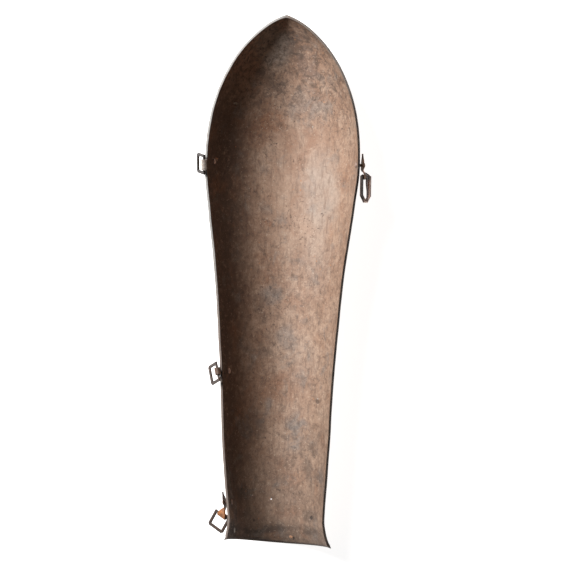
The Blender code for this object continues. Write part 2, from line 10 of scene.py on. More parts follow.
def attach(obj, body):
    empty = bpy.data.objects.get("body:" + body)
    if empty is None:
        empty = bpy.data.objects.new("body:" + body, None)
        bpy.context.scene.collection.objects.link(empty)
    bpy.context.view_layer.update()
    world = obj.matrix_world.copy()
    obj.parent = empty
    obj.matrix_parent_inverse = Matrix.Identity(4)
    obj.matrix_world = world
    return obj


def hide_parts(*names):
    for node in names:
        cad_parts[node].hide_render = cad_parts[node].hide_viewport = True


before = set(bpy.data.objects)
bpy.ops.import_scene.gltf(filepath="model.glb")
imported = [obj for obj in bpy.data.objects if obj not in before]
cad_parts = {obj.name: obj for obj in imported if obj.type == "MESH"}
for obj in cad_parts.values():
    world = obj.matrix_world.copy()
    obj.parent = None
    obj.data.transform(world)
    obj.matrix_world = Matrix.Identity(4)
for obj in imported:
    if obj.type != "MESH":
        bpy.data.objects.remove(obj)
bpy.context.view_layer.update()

# The shell's named sizes in metres, as the solid has them, and where its wrist end lies in the row frame.
LENGTH = 0.328
ELBOW_WIDTH = 0.0970
ELBOW_DEPTH = 0.042
WALL = 0.0018
POINT_LENGTH = 0.094
HALF_SWEEP = math.radians(79)
LIP_LENGTH = 0.014
LIP_FLARE = 0.0030
WRIST_SKEW = 0.0039
WRIST_BOW = 0.0025
SIDE_BOW = 0.0021
TIP_DROP = 0.010
CREASE_LENGTH = 0.050
CREASE = 0.30
OUTLINE_POWER = 2.3
OUTLINE_ROUND = 0.69
DEPTH_POWER = 2.0
DEPTH_ROUND = 0.62
BELLY_ALONG = 0.70
LIP_POWER = 1.7
EDGE_FADE = 0.15
BOW_POWER = 0.5
WRIST_PLACE = Vector((-0.000077, -0.162186, 0.0))

# Sections: share of LENGTH, share of ELBOW_WIDTH, share of ELBOW_DEPTH.
SECTIONS = (
    {"along": 0.000, "width": 0.620, "depth": 0.735},
    {"along": 0.050, "width": 0.636, "depth": 0.745},
    {"along": 0.117, "width": 0.671, "depth": 0.765},
    {"along": 0.193, "width": 0.703, "depth": 0.790},
    {"along": 0.326, "width": 0.748, "depth": 0.835},
    {"along": 0.497, "width": 0.835, "depth": 0.905},
    {"along": 0.630, "width": 0.945, "depth": 0.975},
    {"along": 1 - POINT_LENGTH / LENGTH, "width": 1.000, "depth": 1.000},
)

# Pinholes: share of LENGTH, share of the half width, and the rods that cut them.
PINHOLES = (
    {"along": 0.080, "across": -0.51},
    {"along": 0.073, "across": -0.10},
)
PINHOLE_RADIUS = 0.00055
PINHOLE_SIDES = 14
PINHOLE_ROD = WALL * 5

# Fine mesh of the shell.
LIP_ROWS = 16
BODY_ROWS = 170
POINT_ROWS = 80
POINT_CROWDING = 1.6
COLUMNS = 110
SMALLEST_HALF_WIDTH = 0.004
WELD_DISTANCE = 0.000004

# Steps by which the skin's outward direction is found, and its length at the very tip.
ALONG_STEP = 0.001
ALONG_STEP_SHARE = 0.25
TURN_STEP = 0.001
TIP_WALL = 1.1

# How far the hammered skin and the uneven edge wander in metres, and over what size. The shift picks each
# one's place in the noise. Both lie lower by a share of that depth, the edge wanders over the last share of
# the half sweep, and all of it fades out close to the tip.
HAMMER = {"depth": 0.00020, "size": 0.020, "shift": 3.1}
DIMPLES = {"depth": 0.00006, "size": 0.0055, "shift": 8.3}
INNER_DIMPLES = {"depth": 0.00006, "size": 0.0055, "shift": 9.7}
EDGE_WANDER = {"depth": 0.00030, "size": 0.009, "shift": 1.3}
SUNK_SHARE = 0.4
RIM_ZONE = 0.05
TIP_FADE_LENGTH = 0.012
SHIFT_WAY = Vector((1.0, 0.37, -1.0))

# The worn edge from the outside skin to the inside one: arc below the rim in metres, and share of WALL.
RIM_PROFILE = (
    {"drop": 0.00135, "share": 0.02},
    {"drop": 0.00100, "share": 0.08},
    {"drop": 0.00070, "share": 0.19},
    {"drop": 0.00045, "share": 0.36},
    {"drop": 0.00025, "share": 0.56},
    {"drop": 0.00011, "share": 0.76},
    {"drop": 0.00003, "share": 0.92},
    {"drop": 0.00012, "share": 1.00},
)
SKIN_ENDS = {"outer": 0.00260, "inner": 0.00050}

# How far the worn lip reaches past the solid's wrist edge.
WRIST_REACH = 0.0019

# The wrist edge is rounded off inside: its rows' distance from the edge in metres, and what share of WALL
# is left there.
WRIST_ROWS = (
    {"station": 0.00000, "left": 0.18},
    {"station": 0.00022, "left": 0.42},
    {"station": 0.00058, "left": 0.66},
    {"station": 0.00105, "left": 0.86},
    {"station": 0.00160, "left": 1.00},
)
WRIST_EDGE_END = 0.0032

# Grains of the patina: size in metres, and for each the noise's own settings.
GRAINS = {
    "broad": {"size": 0.040, "detail": 4.0, "rough": 0.55, "warp": 0.6},
    "blotches": {"size": 0.010, "detail": 6.0, "rough": 0.66, "warp": 0.5, "shift": (3.1, 0.7, 2.2),
                 "stretch": (1.0, 1.25, 1.0)},
    "mottle": {"size": 0.0032, "detail": 5.0, "rough": 0.70, "warp": 0.3, "shift": (5.1, 2.7, 0.2)},
    "streaks": {"size": 0.0020, "detail": 4.0, "rough": 0.62, "warp": 0.3, "shift": (0.4, 5.0, 1.0),
                "stretch": (1.0, 5.0, 1.0)},
    "fine": {"size": 0.0008, "detail": 3.0, "rough": 0.70, "warp": 0.0, "shift": (8.0, 1.0, 4.0),
             "stretch": (1.0, 1.6, 1.0)},
    "warm": {"size": 0.016, "detail": 5.0, "rough": 0.60, "warp": 0.4, "shift": (1.0, 8.0, 3.0),
             "stretch": (1.0, 1.4, 1.0)},
    "iron": {"size": 0.013, "detail": 6.0, "rough": 0.66, "warp": 0.5, "shift": (7.0, 2.0, 9.0),
             "stretch": (1.0, 1.3, 1.0)},
    "crust": {"size": 0.0044, "detail": 5.0, "rough": 0.72, "warp": 0.8, "shift": (2.2, 6.1, 4.4)},
    "pits": {"size": 0.0021, "detail": 4.0, "rough": 0.72, "warp": 0.5, "shift": (6.0, 3.0, 7.0)},
    "pit_areas": {"size": 0.024, "detail": 4.0, "rough": 0.55, "warp": 0.3, "shift": (5.0, 1.0, 2.0)},
    "pale": {"size": 0.0013, "detail": 2.0, "rough": 0.60, "warp": 0.0, "shift": (2.5, 9.0, 3.0)},
    "speck_areas": {"size": 0.020, "detail": 2.0, "rough": 0.50, "warp": 0.0, "shift": (2.0, 6.0, 5.0)},
}
SPECKS = {"size": 0.0042, "shift": (4.0, 4.0, 1.0)}

# Zones of the patina: axis of the row frame, the two places in metres that the change lies between, the
# zone's value at each, and how far the broad grain pushes it about.
ZONES = {
    # Painted shade: darker towards the wrist end, where the light falls off.
    "wrist_end_shade": {"axis": 1, "between": (-0.080, -0.140), "values": (0.0, 0.52), "push": 0.08},
    # Painted shade over the left wall, which faces away from the light; below_point keeps it off the point.
    "left_wall_shade": {"axis": 0, "between": (-0.013, -0.036), "values": (0.0, 0.84)},
    "below_point": {"axis": 1, "between": (0.098, 0.142), "values": (1.0, 0.15)},
    # Painted shade on the flaring lip, which turns away from the light.
    "lip_shade": {"axis": 1, "between": (-0.1515, -0.1600), "values": (0.0, 0.40)},
    "point": {"axis": 1, "between": (0.084, 0.126), "values": (0.0, 0.62)},
    "right_rim": {"axis": 0, "between": (-0.006, 0.004), "values": (0.0, 1.0)},
    "lower_rim": {"axis": 1, "between": (0.035, -0.045), "values": (0.0, 1.0)},
    "upper_rim": {"axis": 1, "between": (0.100, 0.128), "values": (0.0, 1.0)},
    "dull_side": {"axis": 0, "between": (-0.004, -0.026), "values": (0.0, 0.27)},
    "dull_lip": {"axis": 1, "between": (-0.149, -0.157), "values": (0.0, 0.20)},
}

# Layers of the patina from the bottom up, over the ground colour and then over the marks. A layer lies where
# its grain passes from the first to the second value, and in its zones.
GROUND_COLOUR = (0.325, 0.198, 0.135)
GROUND_LAYERS = (
    {"grain": "broad", "between": (0.36, 0.66), "strength": 1.00, "tint": (0.415, 0.280, 0.202)},
    {"grain": "blotches", "between": (0.46, 0.70), "strength": 0.55, "tint": (0.510, 0.365, 0.272)},
    # Painted shade towards the wrist end.
    {"zones": ("wrist_end_shade",), "strength": 1.00, "tint": (0.190, 0.125, 0.090)},
    # Painted shade over the left wall, fading out on the point.
    {"zones": ("left_wall_shade", "below_point"), "strength": 1.00, "tint": (0.078, 0.052, 0.041)},
    # Painted shade on the lip.
    {"zones": ("lip_shade",), "strength": 1.00, "tint": (0.130, 0.090, 0.068)},
    {"grain": "warm", "between": (0.50, 0.72), "strength": 0.55, "tint": (0.290, 0.150, 0.090)},
    {"grain": "iron", "between": (0.52, 0.68), "strength": 0.55, "tint": (0.200, 0.180, 0.165)},
)
WEATHER_LAYERS = (
    {"grain": "mottle", "between": (0.46, 0.66), "zones": ("rough_skin",), "strength": 0.50,
     "tint": (0.105, 0.072, 0.055)},
    {"grain": "mottle", "between": (0.46, 0.30), "zones": ("rough_skin",), "strength": 0.32,
     "tint": (0.620, 0.455, 0.340)},
    {"grain": "crust", "between": (0.48, 0.62), "zones": ("point",), "strength": 1.00,
     "tint": (0.072, 0.056, 0.048)},
    {"grain": "streaks", "between": (0.48, 0.68), "strength": 0.40, "tint": (0.135, 0.085, 0.060)},
    {"grain": "fine", "between": (0.50, 0.68), "zones": ("rough_skin",), "strength": 0.42,
     "tint": (0.120, 0.078, 0.056)},
    {"zones": ("pitted",), "strength": 0.75, "tint": (0.055, 0.040, 0.033)},
    {"grain": "pale", "between": (0.62, 0.74), "strength": 0.50, "tint": (0.600, 0.470, 0.370)},
    {"grain": "specks", "between": (0.13, 0.07), "zones": ("specked",), "strength": 1.00,
     "tint": (0.420, 0.190, 0.085)},
)
PITS_BETWEEN = (0.58, 0.68)
PIT_AREAS_BETWEEN = (0.42, 0.60)
SPECK_AREAS_BETWEEN = (0.54, 0.66)

# The smoother area: place and half size in metres, how uneven its outline is, and how far it calms the
# grains.
SMOOTH_ZONE = {"at": (0.014, 0.058), "half": (0.034, 0.060)}
SMOOTH_ZONE_PUSH = 0.012
SMOOTH_ZONE_CALM = 0.62

# The rim's bare metal: how far the mark round the rim and the mottle let it show, and its colours. The
# colours are painted light on the left, brightest at the upper left, and painted shade on the right, darkest
# at the lower right.
RIM_BETWEEN = (0.45, 0.90)
RIM_MOTTLE_BETWEEN = (0.70, 0.45)
RIM_MOTTLE_VALUES = (0.60, 1.0)
RIM_COLOURS = {
    "upper_left": (0.290, 0.280, 0.266),
    "lower_left": (0.200, 0.160, 0.138),
    "upper_right": (0.170, 0.142, 0.124),
    "lower_right": (0.045, 0.031, 0.025),
}
# Painted shade along the inside of the wrist edge, whose rounded face turns away from the light.
WRIST_EDGE_SHADE = (0.050, 0.036, 0.030)
WRIST_EDGE_SHADE_STRENGTH = 0.85

# Relief of the patina: share of each grain and mask in its height, and how deep the whole stands.
RELIEF = {
    "blotches": 0.60,
    "streaks": 0.25,
    "pitted": -0.50,
    "fine": 0.22,
    "mottle": 0.35,
    "pressed": -1.60,
    "raised": 0.80,
}
RELIEF_DEPTH = 0.00030
RELIEF_STRENGTH = 0.80

# Shine of the patina: roughness where the mottle is low and high, and what the worn rim changes.
NOISE_RANGE = (0.3, 0.7)
ROUGHNESS = (0.52, 0.66)
RIM_POLISH = 0.12
RIM_METAL = 0.10
PATINA_SPECULAR = 0.36

# Marks on the inside: place and half size in millimetres in the row frame, and how strong they are.
MILLIMETRE = 0.001
MARKS = (
    # Painted light on the point's left side, where the point's own wall casts shade.
    {"kind": "pale", "at": (-9.0, 147.0), "half": (15, 17), "strength": 0.90},
    {"kind": "dark", "at": (6.0, 147.5), "half": (14, 12), "strength": 0.50},
    {"kind": "dark", "at": (-3.0, 127.0), "half": (14, 12), "strength": 0.50},
    {"kind": "grey", "at": (13.0, 139.0), "half": (9, 11), "strength": 0.45},
    {"kind": "warm", "at": (-6.5, 101.0), "half": (12, 9), "strength": 0.62},
    {"kind": "warm", "at": (-17.0, 92.0), "half": (10, 13), "strength": 0.45},
    {"kind": "warm", "at": (12.0, 136.0), "half": (13, 12), "strength": 0.35},
    # Painted sheen: pale along the right wall, where it faces the light.
    {"kind": "pale", "at": (23.5, 57.0), "half": (15, 34), "strength": 0.55},
    {"kind": "pale", "at": (22.0, 14.0), "half": (11, 32), "strength": 0.30},
    # Painted shade at the lip's left corner.
    {"kind": "dark", "at": (-32.0, -157.0), "half": (10, 9), "strength": 0.85},
    {"kind": "dark", "at": (24.0, -110.0), "half": (10, 34), "strength": 0.30},
    {"kind": "pale", "at": (16.0, -48.0), "half": (9, 18), "strength": 0.20},
    {"kind": "warm", "at": (-10.0, 37.0), "half": (3.4, 3.0), "strength": 0.70},
    {"kind": "grey", "at": (-6.0, -8.0), "half": (9, 8), "strength": 0.40},
    {"kind": "dark", "at": (-13.0, -17.0), "half": (8, 11), "strength": 0.42},
    {"kind": "grey", "at": (4.0, -36.0), "half": (10, 11), "strength": 0.45},
    {"kind": "dark", "at": (-11.0, -41.0), "half": (7, 12), "strength": 0.40},
    {"kind": "grey", "at": (11.0, -96.0), "half": (10, 17), "strength": 0.60},
    {"kind": "dark", "at": (18.0, -112.0), "half": (6, 14), "strength": 0.35},
    {"kind": "dark", "at": (-15.0, -92.0), "half": (9, 14), "strength": 0.35},
    {"kind": "grey", "at": (9.0, 112.0), "half": (10, 12), "strength": 0.30},
    # Painted shade along the lip, which turns away from the light.
    {"kind": "dark", "at": (-8.0, -157.5), "half": (22, 3.6), "strength": 0.60},
    {"kind": "dark", "at": (16.0, -157.5), "half": (13, 4.2), "strength": 0.60},
    {"kind": "dark", "at": (19.5, -148.0), "half": (5, 6), "strength": 0.45},
    {"kind": "dark", "at": (-24.0, -140.0), "half": (7, 14), "strength": 0.45},
    {"kind": "warm", "at": (2.0, -70.0), "half": (12, 12), "strength": 0.40},
    {"kind": "warm", "at": (5.0, -146.0), "half": (12, 7), "strength": 0.35},
    {"kind": "warm", "at": (-12.0, 8.0), "half": (10, 16), "strength": 0.30},
    # Painted light round the upper pinhole, standing in for the light seen through it.
    {"kind": "bright", "at": (-17.2, -136.1), "half": (0.9, 0.8), "strength": 1.00},
    {"kind": "copper", "at": (-4.8, -138.6), "half": (1.1, 1.0), "strength": 0.90},
    {"kind": "dark", "at": (20.9, -149.1), "half": (1.3, 1.6), "strength": 0.95},
    {"kind": "dark", "at": (23.6, -76.0), "half": (1.6, 1.8), "strength": 0.60},
    {"kind": "dark", "at": (10.3, -163.6), "half": (0.8, 1.4), "strength": 0.95},
    {"kind": "copper", "at": (8.4, -162.6), "half": (1.5, 1.1), "strength": 0.95},
    {"kind": "copper", "at": (-42.4, 75.6), "half": (1.2, 1.3), "strength": 0.80},
    {"kind": "bright", "at": (-31.2, 111.1), "half": (1.8, 1.0), "strength": 1.00},
    {"kind": "bright", "at": (17.7, 97.8), "half": (0.55, 0.8), "strength": 0.80},
    {"kind": "bright", "at": (23.6, -74.1), "half": (0.6, 0.5), "strength": 0.80},
    {"kind": "bright", "at": (-27.2, -157.1), "half": (0.55, 2.2), "strength": 1.00},
    {"kind": "dark", "at": (30.8, -160.4), "half": (1.4, 1.6), "strength": 0.90},
    {"kind": "bright", "at": (-43.4, 75.2), "half": (2.0, 0.7), "strength": 0.45},
)
# Colours of the marks; pale, bright and dark also serve the painted light and shade noted at those marks.
MARK_COLOURS = {
    "dark": (0.060, 0.046, 0.040),
    "warm": (0.250, 0.112, 0.058),
    "grey": (0.190, 0.178, 0.170),
    "pale": (0.420, 0.345, 0.290),
    "copper": (0.640, 0.330, 0.190),
    "bright": (0.640, 0.580, 0.520),
}

# A mark under this half size in millimetres keeps a clean outline, and is pressed in or raised.
SMALL_MARK = 3

# The larger marks: how far their outline is pushed about in metres, and how the blotches break them up. Pale
# ones are broken up more gently. Every mark is full over the core of its oval.
MARK_PUSH = 0.0035
MARK_RAGGEDNESS = 9.0
MARK_COVER = 0.85
PALE_BETWEEN = (0.30, 0.60)
PALE_VALUES = (0.55, 1.0)
SPOT_CORE = 0.45

# The noise that pushes outlines about.
PUSH_SCALE = 110
PUSH_SHIFT = (4, 2, 8)
PUSH_DETAIL = 4.0

# Rusts of the fittings: colours of the scale, the rust, the rubbed places and the warm places, and the
# grain's size in metres. Zones are as above, each with a tint laid over it. Two rivets are painted light at
# their inside end, pale colours that stand in for a highlight, and their head is dark. The upper right
# frame's copper face is painted light, and its zones lay painted shade beside it.
# Dark scale of the frames and the tongue, also the painted shade beside the upper right frame's lit face.
DARK_SCALE_AND_SHADE = (0.020, 0.014, 0.012)
# Painted light: pale colours for two rivets, standing in for the highlight at their inside end.
PALE_RIVET = {"dark": (0.500, 0.360, 0.320), "mid": (0.760, 0.580, 0.510), "bright": (0.900, 0.760, 0.690),
              "warm": (0.560, 0.300, 0.220), "size": 0.0016}
HEAD = {"axis": 0, "values": (0.0, 0.95), "tint": (0.150, 0.098, 0.074)}
RUSTS = {
    "plate_rust": {
        "dark": (0.040, 0.025, 0.018), "mid": (0.090, 0.048, 0.030), "bright": (0.220, 0.130, 0.085),
        "warm": (0.220, 0.090, 0.036), "size": 0.0030},
    "rivet_rust": {
        "dark": (0.240, 0.160, 0.130), "mid": (0.420, 0.290, 0.240), "bright": (0.620, 0.480, 0.400),
        "warm": (0.340, 0.170, 0.110), "size": 0.0016},
    "frame_rust": {
        "dark": DARK_SCALE_AND_SHADE, "mid": (0.045, 0.028, 0.020), "bright": (0.150, 0.092, 0.066),
        "warm": (0.120, 0.058, 0.034), "size": 0.0026},
    "tongue_rust": {
        "dark": DARK_SCALE_AND_SHADE, "mid": (0.050, 0.028, 0.020), "bright": (0.140, 0.085, 0.060),
        "warm": (0.130, 0.060, 0.034), "size": 0.0020},
    "orange_rust": {
        "dark": (0.150, 0.055, 0.022), "mid": (0.330, 0.125, 0.040), "bright": (0.480, 0.250, 0.110),
        "warm": (0.400, 0.140, 0.038), "size": 0.0026,
        "zones": ({"axis": 1, "between": (-0.1440, -0.1415), "values": (0.0, 0.92),
                   "tint": (0.045, 0.028, 0.020)},)},
    # The upper left plate is pale grey.
    "pale_grey_plate": {
        "dark": (0.200, 0.160, 0.135), "mid": (0.420, 0.370, 0.330), "bright": (0.620, 0.570, 0.520),
        "warm": (0.300, 0.170, 0.100), "size": 0.0030},
    "black_frame": {
        "dark": (0.012, 0.009, 0.008), "mid": (0.022, 0.015, 0.012), "bright": (0.060, 0.042, 0.034),
        "warm": (0.050, 0.028, 0.020), "size": 0.0026},
    # Upper right frame: painted light on its copper face, painted shade to the left and on the outer edge.
    "lit_copper_frame": {
        "dark": (0.480, 0.300, 0.230), "mid": (0.900, 0.640, 0.520), "bright": (0.950, 0.780, 0.680),
        "warm": (0.640, 0.340, 0.230), "size": 0.0030,
        "zones": ({"axis": 0, "between": (0.0508, 0.0497), "values": (0.0, 0.95), "tint": DARK_SCALE_AND_SHADE},
                  {"axis": 0, "between": (0.0540, 0.0545), "values": (0.0, 0.80),
                   "tint": (0.090, 0.052, 0.040)})},
    # Painted highlight on these two rivets' inside ends.
    "highlit_rivet_upper_left": {**PALE_RIVET, "zones": ({**HEAD, "between": (-0.0447, -0.0453)},)},
    "highlit_rivet_middle_left": {**PALE_RIVET, "zones": ({**HEAD, "between": (-0.0336, -0.0342)},)},
}

# Grains of a rust: size beside the rust's own, and the noise's settings.
RUST_GRAINS = {
    "base": {"share": 1.0, "settings": {"detail": 5.0, "rough": 0.62, "warp": 0.6}},
    "fine": {"share": 0.22, "settings": {"detail": 4.0, "rough": 0.70, "warp": 0.2, "shift": (3, 1, 5)}},
    "warm": {"share": 0.60, "settings": {"detail": 3.0, "rough": 0.60, "warp": 0.5, "shift": (9, 4, 2)}},
}

# The noise values between which each colour of a rust comes in, how strong its warm places are, how uneven a
# zone's end is, its relief and its shine.
MID_BETWEEN = (0.34, 0.62)
BRIGHT_BETWEEN = (0.52, 0.72)
WARM_BETWEEN = (0.50, 0.68)
WARM_STRENGTH = 0.6
RUST_ZONE_PUSH = 0.0006
FINE_RUST_RELIEF = 0.5
RUST_DEPTH = 0.00016
RUST_STRENGTH = 0.9
RUST_ROUGHNESS = (0.62, 0.44)
RUST_METAL = 0.20

# The rust that each kind of fitting has and how far its edges are rounded in metres, and the fittings that
# have a rust of their own.
KINDS = {
    "plate": {"rust": "plate_rust", "edge": 0.00018},
    "rivet": {"rust": "rivet_rust", "edge": 0.00010},
    "frame": {"rust": "frame_rust", "edge": 0.00022},
    "tongue": {"rust": "tongue_rust", "edge": 0.00015},
}
OWN_RUSTS = {
    "buckle_plate_lower_left": "orange_rust",
    "buckle_plate_upper_left": "pale_grey_plate",
    "buckle_rivet_upper_left": "highlit_rivet_upper_left",
    "buckle_rivet_middle_left": "highlit_rivet_middle_left",
    "buckle_frame_upper_left": "black_frame",
    "buckle_frame_upper_right": "lit_copper_frame",
}
BEVEL_SEGMENTS = 3
BEVEL_ANGLE = math.radians(30)

# Camera: straight above, turned a little, its frame's width and the depth that this is measured at.
CAMERA_HEIGHT = 1.5
CAMERA_PLACE = (0.00182, -0.00269)
CAMERA_TURN = math.radians(0.968)
CAMERA_REACH = 20
FRAME_SPAN = 0.35397
FRAME_DEPTH = 1.462
SENSOR = 36.0

# Surroundings: a floor that glows so as to show white, one soft light from the upper left, and a dim sky.
FLOOR_HALF = 6
FLOOR_DROP = 0.0002
FLOOR_GRAIN = {"size": 0.30, "detail": 2.0, "rough": 0.5}
FLOOR_COLOURS = ((0.900, 0.900, 0.895), (0.925, 0.925, 0.920))
FLOOR_GLOW = 0.92
FLOOR_ROUGHNESS = 0.9
FLOOR_RELIEF = 0.0001
FLOOR_RELIEF_STRENGTH = 0.1
WHITE = (1.0, 1.0, 1.0, 1.0)
KEY_PLACE = (-0.56, 0.52, 0.66)
KEY_TARGET = (0, 0.02, 0.02)
KEY_SIZE = 0.50
KEY_POWER = 19
SKY_STRENGTH = 0.018


def smooth(value):
    value = np.clip(value, 0.0, 1.0)
    return value * value * (3 - 2 * value)


def lookup(column, along):
    """Smooth curve through the sections."""
    places = [row["along"] for row in SECTIONS]
    values = [row[column] for row in SECTIONS]
    count = len(SECTIONS)
    slopes = []
    for i in range(count):
        low = max(i - 1, 0)
        high = min(i + 1, count - 1)
        slopes.append((values[high] - values[low]) / (places[high] - places[low]))
    slopes[-1] = 0.0
    along = min(max(along, places[0]), places[-1])
    i = 0
    while i < count - 2 and along > places[i + 1]:
        i += 1
    step = places[i + 1] - places[i]
    t = (along - places[i]) / step
    return (values[i] * (1 + 2 * t) * (1 - t) ** 2 + slopes[i] * step * t * (1 - t) ** 2
            + values[i + 1] * t * t * (3 - 2 * t) + slopes[i + 1] * step * t * t * (t - 1))


def from_tip(station):
    """Share of the point's length that lies between a station and the tip, at most 1."""
    return min((LENGTH - station) / POINT_LENGTH, 1.0)


def lip(station):
    """How far the lip flares outward at a station."""
    return LIP_FLARE * max(0.0, 1 - station / LIP_LENGTH) ** LIP_POWER


def half_width(station):
    """Half the shell's width over the outside."""
    share = from_tip(station)
    if share >= 1:
        return ELBOW_WIDTH / 2 * lookup("width", station / LENGTH) + lip(station)
    return ELBOW_WIDTH / 2 * (1 - (1 - share) ** OUTLINE_POWER) ** OUTLINE_ROUND


def depth(station):
    """Height of the rim over the outside of the spine."""
    share = from_tip(station)
    if share >= 1:
        return ELBOW_DEPTH * lookup("depth", station / LENGTH)
    return ELBOW_DEPTH * (1 - (1 - share) ** DEPTH_POWER) ** DEPTH_ROUND


def rim_height(station):
    """Height of the rim over the ground."""
    lift = LIP_FLARE * max(0.0, 1 - station / (BELLY_ALONG * LENGTH))
    if from_tip(station) >= 1:
        return lift + depth(station)
    return ELBOW_DEPTH - TIP_DROP * (1 - from_tip(station)) ** 2


def centre_shift(station):
    """How far the middle line bows to the left."""
    return -SIDE_BOW * math.sin(math.pi * max(station / LENGTH, 0.0) ** BOW_POWER)


def outer_row(station, turns):
    """Points on the outside of the shell at one station, one per angle from the spine."""
    across = np.sin(turns) / math.sin(HALF_SWEEP)
    crease = CREASE * max(0.0, 1 - (LENGTH - station) / CREASE_LENGTH) ** 2
    bowl = (np.cos(turns) - math.cos(HALF_SWEEP)) / (1 - math.cos(HALF_SWEEP))
    keel = 1 - np.abs(turns) / HALF_SWEEP
    fade = max(0.0, 1 - station / (EDGE_FADE * LENGTH)) ** 2
    edge = WRIST_SKEW / 2 * across + WRIST_BOW * (1 - across * across)
    x = half_width(station) * across + centre_shift(station)
    fall = depth(station) + lip(max(station, 0.0))
    z = rim_height(station) - fall * ((1 - crease) * bowl + crease * keel)
    return np.stack([x, station - fade * edge, z], axis=1)


def wall_rows(station, turns):
    """Outside points and outward normals at one station."""
    here = outer_row(station, turns)
    if station >= LENGTH:
        return here, np.tile((0.0, TIP_WALL, 0.0), (len(turns), 1))
    step = min(ALONG_STEP, (LENGTH - station) * ALONG_STEP_SHARE)
    along = outer_row(station + step, turns) - outer_row(station - step, turns)
    across = outer_row(station, turns + TURN_STEP) - outer_row(station, turns - TURN_STEP)
    normal = np.cross(along, across)
    normal /= np.linalg.norm(normal, axis=1)[:, None]
    return here, normal


def stations():
    """The rows' places along the guard, from the worn lip to the tip."""
    start = LENGTH - POINT_LENGTH
    rows = [row["station"] - WRIST_REACH for row in WRIST_ROWS]
    rows += [LIP_LENGTH * i / LIP_ROWS for i in range(LIP_ROWS)]
    rows += [LIP_LENGTH + (start - LIP_LENGTH) * i / BODY_ROWS for i in range(BODY_ROWS)]
    rows += [LENGTH - POINT_LENGTH * (1 - i / POINT_ROWS) ** POINT_CROWDING for i in range(POINT_ROWS + 1)]
    return rows


def ripple(point, size, shift):
    """Signed smooth noise of about the given size, different for each shift."""
    return noise.noise(Vector(point) / size + SHIFT_WAY * shift)


def wander(point, kind):
    """How far one kind of unevenness stands out at a point."""
    return kind["depth"] * ripple(point, kind["size"], kind["shift"])


def new_object(name, points, faces):
    mesh = bpy.data.meshes.new(name)
    mesh.from_pydata(points, [], faces)
    item = bpy.data.objects.new(name, mesh)
    bpy.context.scene.collection.objects.link(item)
    return item


def cross_section(station):
    """Each point round the shell's section at a station: angle, share of the wall's depth, and rim mark."""
    radius = max(half_width(station), SMALLEST_HALF_WIDTH) / math.sin(HALF_SWEEP)
    outer_end = HALF_SWEEP - SKIN_ENDS["outer"] / radius
    inner_end = HALF_SWEEP - SKIN_ENDS["inner"] / radius
    edge = [(HALF_SWEEP - row["drop"] / radius, row["share"], 1.0) for row in RIM_PROFILE]
    outer = [(turn, 0.0, 0.0) for turn in np.linspace(-outer_end, outer_end, COLUMNS + 1)]
    inner = [(turn, 1.0, 0.0) for turn in np.linspace(inner_end, -inner_end, COLUMNS + 1)]
    return outer + edge + inner + [(-turn, share, mark) for turn, share, mark in reversed(edge)]


def wall_left(from_edge):
    """Share of the wall's thickness at a distance from the worn wrist edge."""
    places = [row["station"] for row in WRIST_ROWS]
    return float(np.interp(from_edge, places, [row["left"] for row in WRIST_ROWS]))


def section_points(station):
    """Points of one section, hammered by hand, its edge a little uneven, and what each is painted by."""
    from_edge = station + WRIST_REACH
    left = wall_left(from_edge)
    section = [(turn, share * left, mark) for turn, share, mark in cross_section(station)]
    here, away = wall_rows(station, np.array([turn for turn, _, _ in section]))
    here = here + np.array(WRIST_PLACE)
    tip_fade = min(1.0, (LENGTH - station) / TIP_FADE_LENGTH)
    points = []
    for point, normal, (turn, share, _) in zip(here, away, section):
        bulge = wander(point, HAMMER) + wander(point, DIMPLES) - SUNK_SHARE * HAMMER["depth"]
        bulge += share * wander(point, INNER_DIMPLES)
        near = float(smooth((abs(turn) / HALF_SWEEP - 1 + RIM_ZONE) / RIM_ZONE))
        lift = (wander(point, EDGE_WANDER) - SUNK_SHARE * EDGE_WANDER["depth"]) * near
        points.append(point + normal * (bulge * tip_fade - WALL * share) + np.array((0, 0, lift * tip_fade)))
    wrist = 1.0 - float(smooth(from_edge / WRIST_EDGE_END))
    marks = [(mark, float(share > 0 and mark == 0), wrist * float(share > 0)) for _, share, mark in section]
    return points, marks


def shell_faces(row_count, size):
    """Faces between the rows, and those that close the wrist end between the skins."""
    edge_size = len(RIM_PROFILE)
    inner_start = COLUMNS + 1 + edge_size
    faces = []
    for row in range(row_count - 1):
        low = row * size
        high = low + size
        for i in range(size):
            beside = (i + 1) % size
            faces.append((low + i, low + beside, high + beside, high + i))
    for i in range(COLUMNS):
        far = inner_start + COLUMNS - i
        faces.append((i, i + 1, far - 1, far))
    faces.append(tuple(range(COLUMNS, inner_start + 1)))
    faces.append((*range(inner_start + COLUMNS, size), 0))
    return faces


def build_shell():
    """Both skins of the shell with the worn edge that joins them, closed at the wrist."""
    points = []
    marks = []
    rows = stations()
    for station in rows:
        row_points, row_marks = section_points(station)
        points += row_points
        marks += row_marks
    faces = shell_faces(len(rows), len(marks) // len(rows))
    shell = new_object("guard_shell", [tuple(point) for point in points], faces)
    for column, name in enumerate(("rim", "inside", "wrist_edge")):
        layer = shell.data.attributes.new(name, "FLOAT", "POINT")
        layer.data.foreach_set("value", np.array([mark[column] for mark in marks], dtype=np.float32))
    work = bmesh.new()
    work.from_mesh(shell.data)
    bmesh.ops.remove_doubles(work, verts=work.verts, dist=WELD_DISTANCE)
    bmesh.ops.recalc_face_normals(work, faces=work.faces)
    work.to_mesh(shell.data)
    work.free()
    shell.data.shade_smooth()
    return shell


